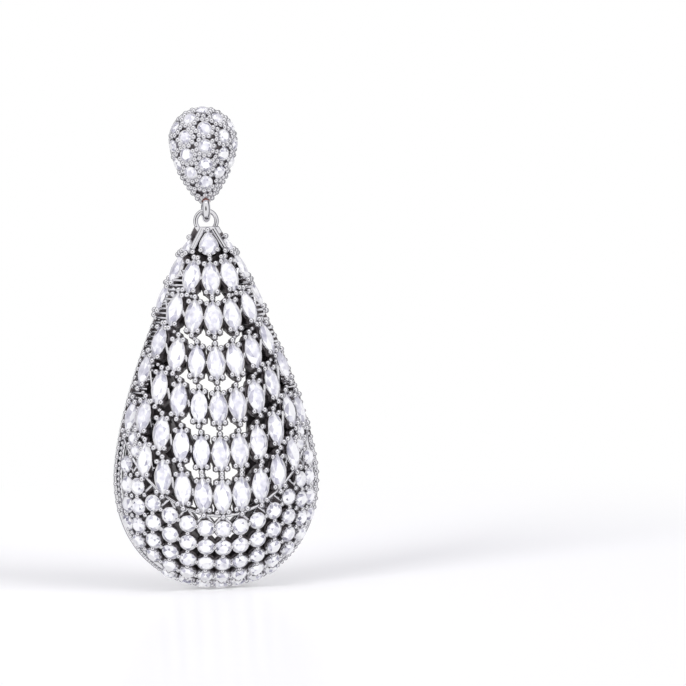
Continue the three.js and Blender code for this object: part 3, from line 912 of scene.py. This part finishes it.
# Rail under the marquises, as far as the border wire
RAIL_LEVEL = MARQUISE_ROWS[-1][0] + (MARQUISE_LENGTH / 2 + RAIL_DROP) / DROP_LENGTH
arcs = np.arange(0, 25, 0.05)
rail_levels = climb(RAIL_LEVEL, arcs, RAIL_CURVE)
inside = np.abs(angle_at_arc(DROP_FORM, rail_levels, arcs)) < border_angle(rail_levels)
RAIL_REACH, RAIL_END_LEVEL = arcs[np.argmin(inside)], rail_levels[np.argmin(inside)]
rail = row_places(RAIL_LEVEL, np.linspace(-RAIL_REACH, RAIL_REACH, 80), curve=RAIL_CURVE)
rail_line, shadow_line = (rail.origin - deep * rail.out for deep in (0.05, 0.5))
metal("gallery_rail", tubes(rail_line[None], RAIL_WIRE / 2, rail.out[None], 8), "drop")

# Border wire on the rim: down the right side and up the left. Its upper part takes painted shade.
foot_levels = np.arange(1, 0.9, -1e-4)
LOWEST_LEVEL = foot_levels[np.argmax(border_angle(foot_levels) >= 0.02)]
border_levels = BORDER_TOP + (LOWEST_LEVEL - BORDER_TOP) * np.sin(np.linspace(0, np.pi / 2, 90))
right_border = dome_places(DROP_FORM, border_levels, border_angle(border_levels))
left_border = dome_places(DROP_FORM, border_levels[::-1], -border_angle(border_levels[::-1]))
border = together(right_border, left_border)
border_line = border.origin - 0.42 * border.out
# The wire's upper part, above the rail's end, takes painted shade
border_shaded = np.concatenate([border_levels, border_levels[::-1]])[:-1] < RAIL_END_LEVEL
piece(
    "border_wire",
    tubes(border_line[None], BORDER_WIRE / 2, border.out[None], BORDER_SIDES),
    "drop",
    [RHODIUM, PAINTED_SHADE],
    "rhodium_plate",
    second=np.concatenate([np.repeat(border_shaded, BORDER_SIDES), [True, True]]),
)
# A thicker dark tube deeper under the rail: a painted shadow beneath it
painted_shade_metal("rail_painted_shadow", tubes(shadow_line[None], RAIL_SHADOW / 2, rail.out[None], 8), "drop")


# Round field: upright columns from the rail down to the border
def column_places(x, level, first_step):
    """Places down an upright column, a pitch apart on the surface, until the border wire."""
    levels = np.arange(level, LOWEST_LEVEL, 5e-4)
    levels = levels[half_width(DROP_FORM, levels) > abs(x)]
    angles = np.arcsin(x / half_width(DROP_FORM, levels))
    beyond = np.abs(angles) > border_angle(levels)
    stop = np.argmax(beyond) if beyond.any() else len(levels)
    levels, angles = levels[:stop], angles[:stop]
    if len(levels) < 2:
        return None
    run = run_along(dome_point(DROP_FORM, levels, angles))
    wanted = np.arange(first_step, run[-1], ROUND_PITCH)
    if not len(wanted):
        return None
    return dome_places(DROP_FORM, np.interp(wanted, run, levels), np.interp(wanted, run, angles))


round_columns = {}
last_column = int(RAIL_REACH / ROUND_COLUMNS)
for column in range(-last_column, last_column + 1):
    arc = column * ROUND_COLUMNS
    start_level = climb(RAIL_LEVEL, arc, RAIL_CURVE)
    start_angle = angle_at_arc(DROP_FORM, start_level, arc)[0]
    start_x = half_width(DROP_FORM, start_level) * np.sin(start_angle)
    found = column_places(start_x, start_level, ROUND_FIRST * np.hypot(1, arc / RAIL_CURVE))
    if found is not None:
        round_columns[column] = found
rounds = together(*round_columns.values())
set_rounds("round", ROUND_STONE, 0.8, rounds, contrast=1.6, lift=0.21, nodes=["round_gallery"])

# Beads and links between neighbours, down a column and from one column to the next; the links are in
# painted shade
pairs = []
for column, places in round_columns.items():
    pairs.append((some(places, slice(None, -1)), some(places, slice(1, None))))
    beside = round_columns.get(column + 1)
    if beside is not None:
        shared = slice(min(len(places.origin), len(beside.origin)))
        pairs.append((some(places, shared), some(beside, shared)))
firsts, seconds = (together(*group) for group in zip(*pairs))
beads("junction_beads", JUNCTION_BEAD, between(firsts, seconds))
painted_shade_metal(
    "lattice_links",
    rods(
        firsts.origin - 0.4 * firsts.out,
        seconds.origin - 0.4 * seconds.out,
        firsts.out,
        LATTICE_LINK / 2,
    ),
    "drop",
)

# Struts in a V under the rail, each over a thicker dark rod of painted shadow that lies deeper and a little
# lower
struts = []
for column, left in round_columns.items():
    right = round_columns.get(column + 1)
    if right is None:
        continue
    apex = (left.origin[0] + right.origin[0]) / 2 + 0.35 * left.along[0]
    for own in (column, column + 1):
        top = row_places(RAIL_LEVEL, own * ROUND_COLUMNS, curve=RAIL_CURVE)
        struts.append((top.origin[0], apex, top.along[0], top.out[0]))
strut_tops, strut_feet, strut_alongs, strut_outs = (np.array(part) for part in zip(*struts))
strut_starts, strut_ends = strut_tops - 0.15 * strut_outs, strut_feet - 0.15 * strut_outs
metal("rail_struts", rods(strut_starts, strut_ends, strut_outs, STRUT_WIRE / 2), "drop")
sink = 0.32 * strut_outs + 0.2 * strut_alongs
painted_shade_metal("strut_painted_shadows", rods(strut_starts - sink, strut_ends - sink, strut_outs, STRUT_SHADOW / 2), "drop")

# Comb of short wires from the edge of the upper rim over the border wire and inwards
comb_levels = np.arange(COMB_TOP, RAIL_END_LEVEL, COMB_PITCH / DROP_LENGTH)
comb_half, comb_depth = half_width(DROP_FORM, comb_levels), depth_at(DROP_FORM, comb_levels)
comb_angles = border_angle(comb_levels)
comb_reach = COMB_LENGTH / np.hypot(comb_half * np.cos(comb_angles), comb_depth)
combs = []
for side in (-1, 1):
    foot = dome_places(DROP_FORM, comb_levels, side * comb_angles, 0.12)
    head = dome_places(DROP_FORM, comb_levels, side * (comb_angles - comb_reach), -0.2)
    edge = np.stack(
        [
            side * (comb_half - 0.2),
            DROP_FORM.back - RIM_RISE * comb_depth - 0.1,
            DROP_FORM.point - comb_levels * DROP_LENGTH,
        ],
        axis=-1,
    )
    teeth = np.stack([edge, foot.origin, head.origin], axis=1)
    combs.append(tubes(teeth, COMB_WIRE / 2, foot.along[:, None], 6))
metal("border_comb", join(*combs), "drop")

# Round stones in the corners over the ends of the rail
corner_levels, corner_degrees = np.array(CORNER_PLACES).T
corners = together(
    *(dome_places(DROP_FORM, corner_levels, side * np.radians(corner_degrees)) for side in (-1, 1))
)
set_rounds("corner", CORNER_STONE, 0.6, corners, contrast=1.2, lift=0.2)
beads("corner_beads", JUNCTION_BEAD, around(corners, CORNER_STONE / 2 + 0.2, 5, 0.3))

# Bars from the ring's foot down both sides of the pear, and the beads at their feet
bar_starts, bar_ends = (both_sides(*end) for end in APEX_BAR_ENDS)
metal("apex_bars", rods(bar_starts.origin, bar_ends.origin, bar_starts.out, APEX_BAR / 2, 8), "drop")
beads("apex_beads", PRONG_BEAD, together(*(both_sides(*place) for place in APEX_BEADS)))

# Beads round the outside of the rim, down to where it turns under
rim_steps, _ = outline(DROP_FORM, 600, 0.15)
rim_x, rim_z = spaced(rim_steps, RIM_BEAD_PITCH, 0.5)[0].T
rim_level = (DROP_FORM.point - rim_z) / DROP_LENGTH
rim_kept = (rim_level > RIM_BEADS[0]) & (rim_level < RIM_BEADS[1])
rim_x, rim_z, rim_level = rim_x[rim_kept], rim_z[rim_kept], rim_level[rim_kept]
rim_y = DROP_FORM.back - RIM_RISE * depth_at(DROP_FORM, rim_level) + 0.1
rim_out = unit(np.stack([np.sign(rim_x), -0.9 + 0 * rim_x, 0 * rim_x], axis=-1))
rim_up = np.tile([0.0, 0, 1], (len(rim_x), 1))
rim_middles = np.stack([rim_x, rim_y, rim_z], axis=-1)
beads("rim_beads", RIM_BEAD, Places(rim_middles, np.cross(rim_up, rim_out), rim_up, rim_out))

# Milgrain on the lower border
grain_middles, nearest = spaced(border.origin, GRAIN_PITCH)
grain_level = (DROP_FORM.point - grain_middles[:, 2]) / DROP_LENGTH
grain_kept = (grain_level >= RAIL_END_LEVEL) & (grain_level < 1)
grain_places = some(some(border, nearest)._replace(origin=grain_middles), grain_kept)
beads("border_grains", BORDER_GRAIN, grain_places)


# Stud
def stud_plate():
    """The plate's edge section, carried round the stud's outline, with flat faces."""
    outer, inner, flat_edge = (outline(STUD_FORM, 96, share * STUD_SOFT)[0] for share in (0, 1, 1.5))
    rings = [
        (flat_edge, -STUD_PLATE),
        (inner, -STUD_PLATE),
        (outer, -STUD_PLATE + STUD_SOFT),
        (outer, -STUD_SOFT),
        (inner, 0.0),
        (flat_edge, 0.0),
    ]
    return skin(np.stack([ring_of(*ring) for ring in rings])[None])


# The post starts inside the plate, and its tip is rounded over the last quarter of a millimetre
post_y = np.array([-STUD_PLATE / 2, 0, 4, 8, POST_LENGTH - 0.25, POST_LENGTH - 0.08, POST_LENGTH])
post_path = np.stack([0 * post_y, post_y, 0 * post_y], axis=-1)[None]
post_radius = POST_DIAMETER / 2 * np.array([1, 1, 1, 1, 1, 0.85, 0.5])
loop_path = circle_path(LOOP_CENTRE, LOOP_RADIUS, [0, 1, 0], [0, 0, 1])
metal(
    "stud_plate",
    join(
        stud_plate(),
        tubes(post_path, post_radius, [0, 0, 1.0], 20),
        tubes(loop_path[None], LOOP_WIRE / 2, [1.0, 0, 0], 14, closed=True),
    ),
    "stud",
    nodes=["stud_frame"],
)

# Solder: a short swelling of the loop's wire where it meets the stud's point
joint_turn = np.radians(np.linspace(113, 131, 7))[:, None]
joint_path = LOOP_CENTRE + LOOP_RADIUS * (np.cos(joint_turn) * [0, 1, 0] + np.sin(joint_turn) * [0, 0, 1])
joint_radius = LOOP_WIRE / 2 + 0.03 * np.array([0, 0.6, 0.9, 1, 0.9, 0.6, 0])
joint_shape = tubes(joint_path[None], joint_radius, [1.0, 0, 0], 14)
piece("loop_solder", joint_shape, "stud", [SOLDER], "rhodium_plate")

bed_levels = np.sin(np.linspace(0.01, np.pi / 2 - 0.05, 40))
bed_sections = dome_point(PAVE_FORM, bed_levels[:, None], np.linspace(-np.pi / 2, np.pi / 2, 33)[None])
# The bed between the stud's stones is in painted shade
painted_shade_metal("stud_bed", skin(bed_sections[None, ::-1]), "stud")

stud_places = []
for degrees, first, count in STUD_COLUMNS:
    level = first + np.arange(count) * STUD_PITCH / STUD_HEIGHT
    for side in (-1, 1) if degrees else (1,):  # the middle column stands once
        angle = np.full(count, side * np.radians(degrees))
        stud_places.append(dome_places(PAVE_FORM, level, angle, 0.1))
stud_stones = together(*stud_places)
stud_cut = cut_stone(round_outline, STUD_STONE, STUD_STONE, 0.5)
stones("stud_stones", copies(stud_cut, stud_stones), "stud", contrast=1.3, lift=0.08, nodes=["stud_pave"])
stud_collar = collar(round_outline, STUD_STONE, STUD_STONE, STUD_COLLAR, 16)
metal("stud_collars", copies(stud_collar, stud_stones), "stud")


# Beads that fill the bed: its edge, a ring round each stone, then the rest, wherever there is room
def dome_rows(form, pitch, low, high, widest):
    """Staggered rows over a dome, a pitch apart, from one level to another."""
    rows = []
    for line, level in enumerate(np.arange(low, high, pitch / form.length)):
        arc = (np.arange(-60, 61) + line % 2 / 2) * pitch
        angle = angle_at_arc(form, np.full(len(arc), level), arc)
        kept = np.abs(angle) < np.radians(widest)
        rows.append(dome_places(form, np.full(kept.sum(), level), angle[kept]))
    return together(*rows)


def onto_dome(form, places):
    """The same places, set back on the dome: the level comes from the height and the angle from
    the ratio of side to depth."""
    level = form.sense * (places.origin[:, 2] - form.point) / form.length
    level = level.clip(0.01, 0.985)
    across = places.origin[:, 0] / half_width(form, level)
    fore = (form.back - places.origin[:, 1]) / depth_at(form, level)
    return dome_places(form, level, np.arctan2(across, fore).clip(-np.pi / 2, np.pi / 2))


def clear_of_stones(point):
    """Whether a bead there would leave the stones free."""
    return np.linalg.norm(stud_stones.origin - point, axis=1).min() > STUD_STONE / 2 + 0.15


def apart(candidates, spacing):
    """Picks places one after another that keep their spacing from those picked before."""
    picked = []
    for number, point in enumerate(candidates.origin):
        near = candidates.origin[picked]
        room = not picked or np.linalg.norm(near - point, axis=1).min() >= spacing
        if room and clear_of_stones(point):
            picked.append(number)
    return some(candidates, picked)


edge_levels = np.arange(0.1, 0.985, STUD_BEAD_PITCH / STUD_HEIGHT)
edge_angle = np.full(len(edge_levels), np.radians(86))
edges = together(*(dome_places(PAVE_FORM, edge_levels, side * edge_angle) for side in (-1, 1)))
rims = onto_dome(PAVE_FORM, around(stud_stones, STUD_STONE / 2 + 0.25, 11, 0.31, -0.1))
spread = together(edges, rims, dome_rows(PAVE_FORM, 0.15, 0.04, 0.985, 84))
beads("stud_grains", STUD_BEAD, apart(spread, STUD_BEAD_ROOM), "stud")


# Stage: floor, lights, surroundings and camera
def white_sweep(tree, shader):
    """White card: it takes soft shadows near the earring and runs out into the white backdrop."""
    place = add(tree, "ShaderNodeTexCoord", {}).outputs["Object"]
    reach = add(tree, "ShaderNodeVectorMath", {0: place}, operation="LENGTH")
    far = add(
        tree,
        "ShaderNodeMapRange",
        {"Value": reach.outputs["Value"], "From Min": FLOOR_NEAR, "From Max": FLOOR_FAR},
        interpolation_type="SMOOTHSTEP",
    )
    fill(
        shader,
        {
            "Base Color": linear("#FFFFFF"),
            "Emission Color": linear("#FFFFFF"),
            "Emission Strength": FLOOR_GLOW,
            "Specular IOR Level": 0.0,
            "Roughness": 0.3,
            "Coat Weight": 0.2,
            "Coat Roughness": 0.12,
        },
    )
    white = add(tree, "ShaderNodeEmission", {"Color": linear("#FFFFFF"), "Strength": 1.0})
    mix = add(
        tree,
        "ShaderNodeMixShader",
        {0: far.outputs["Result"], 1: shader.outputs[0], 2: white.outputs[0]},
    )
    fill(tree.nodes["Material Output"], {"Surface": mix.outputs[0]})


def white_floor():
    """A wide disc, a tenth of a millimetre under the earring."""
    turn = 2 * np.pi * np.arange(64) / 64
    height = np.full(64, cad_low[2] - 0.1 * MM)
    corners = np.stack([FLOOR_REACH * np.cos(turn), FLOOR_REACH * np.sin(turn), height], axis=-1)
    mesh = bpy.data.meshes.new("floor")
    mesh.from_pydata([tuple(corner) for corner in corners], [], [tuple(range(64))])
    mesh.materials.append(finish_of("floor_white", white_sweep))
    made = bpy.data.objects.new("floor", mesh)
    bpy.context.scene.collection.objects.link(made)
    made.visible_glossy = False


def facing_matrix(side, up, away, place):
    """Turns and places a light or lens by its own three axes."""
    turned = np.eye(4)
    turned[:3] = np.stack([side, up, away, place], axis=1)
    return Matrix(turned.tolist())


def softbox(name, place, target, size, power):
    """A rectangular soft light that faces a point."""
    light = bpy.data.lights.new(name, "AREA")
    light.shape = "RECTANGLE"
    light.size, light.size_y = size
    light.energy = power
    made = bpy.data.objects.new(name, light)
    away = unit(np.array(place) - np.array(target))
    side = unit(np.cross([0, 0, 1.0], away)) if abs(away[2]) < 0.99 else np.array([1.0, 0, 0])
    made.matrix_world = facing_matrix(side, np.cross(away, side), away, place)
    made.visible_camera = False
    bpy.context.scene.collection.objects.link(made)


def wide_sun(name, azimuth, elevation, strength, spread):
    """A large far light: its azimuth is measured from the front, to the right."""
    light = bpy.data.lights.new(name, "SUN")
    light.energy = strength
    light.angle = np.radians(spread)
    made = bpy.data.objects.new(name, light)
    side, height = np.radians(azimuth), np.radians(elevation)
    way = (np.sin(side) * np.cos(height), -np.cos(side) * np.cos(height), np.sin(height))
    made.rotation_euler = Vector(way).to_track_quat("Z", "Y").to_euler()
    made.visible_glossy = False
    bpy.context.scene.collection.objects.link(made)


def surroundings():
    """Light tent seen by what it lights: bright in front and behind, dark in a band between them
    and at the hole in its front, which draws the dark edges and the dark dot on polished beads.
    The lens itself sees plain white."""
    world = bpy.data.worlds.new("light_tent")
    world.use_nodes = True
    tree = world.node_tree
    tree.nodes.clear()
    way = add(tree, "ShaderNodeTexCoord", {}).outputs["Generated"]
    facing = add(tree, "ShaderNodeVectorMath", {0: way, 1: TENT_FRONT}, operation="DOT_PRODUCT")
    front = add(
        tree,
        "ShaderNodeMapRange",
        {"Value": facing.outputs["Value"], "From Min": 1.0, "From Max": -1.0},
    )
    tone = ramp(tree, front.outputs["Result"], *TENT_TONES)
    tent = add(tree, "ShaderNodeBackground", {"Color": tone, "Strength": 1.0})
    white = add(tree, "ShaderNodeBackground", {"Color": linear("#FFFFFF"), "Strength": 1.0})
    soft = add(tree, "ShaderNodeBackground", {"Color": linear("#F7F5FF"), "Strength": 0.42})
    path = add(tree, "ShaderNodeLightPath", {})
    lit = add(
        tree,
        "ShaderNodeMixShader",
        {0: path.outputs["Is Diffuse Ray"], 1: tent.outputs[0], 2: soft.outputs[0]},
    )
    mix = add(
        tree,
        "ShaderNodeMixShader",
        {0: path.outputs["Is Camera Ray"], 1: lit.outputs[0], 2: white.outputs[0]},
    )
    add(tree, "ShaderNodeOutputWorld", {"Surface": mix.outputs[0]})
    bpy.context.scene.world = world


def camera():
    """The photo's view: the lens is level with the frame's middle and looks a little down."""
    rise, lean, round_it = np.radians([CAMERA_ELEVATION, CAMERA_LEAN, CAMERA_TURN])
    forward = np.array([np.sin(round_it), np.cos(round_it), 0])
    ahead = np.cos(rise) * forward - np.array([0, 0, np.sin(rise)])
    upright = np.sin(rise) * forward + np.array([0, 0, np.cos(rise)])
    level = np.array([np.cos(round_it), -np.sin(round_it), 0])
    side = np.cos(lean) * level - np.sin(lean) * upright
    up = np.sin(lean) * level + np.cos(lean) * upright
    axis_point = np.array([0, -DROP_DEPTH / 2, PHOTO_MIDDLE_Z])
    place = axis_point + PHOTO_OFFSET * side - CAMERA_DISTANCE * ahead
    lens = bpy.data.cameras.new("photo_view")
    lens.sensor_width = SENSOR
    lens.lens = SENSOR * CAMERA_DISTANCE / (PHOTO_WIDTH / PIXELS_PER_MM)
    lens.clip_start, lens.clip_end = 0.01, 20
    made = bpy.data.objects.new("photo_view", lens)
    made.matrix_world = facing_matrix(side, up, -ahead, place * MM)
    bpy.context.scene.collection.objects.link(made)
    bpy.context.scene.camera = made


white_floor()
softbox("softbox_top", (0.0, -0.05, 0.6), OBJECT_MIDDLE, (0.6, 0.5), 0.5)
wide_sun("far_light_right", 42, 18, 2.1, 32)
wide_sun("far_light_left", -48, 18, 2.1, 32)
surroundings()
camera()
bpy.context.scene.view_settings.view_transform = "Standard"
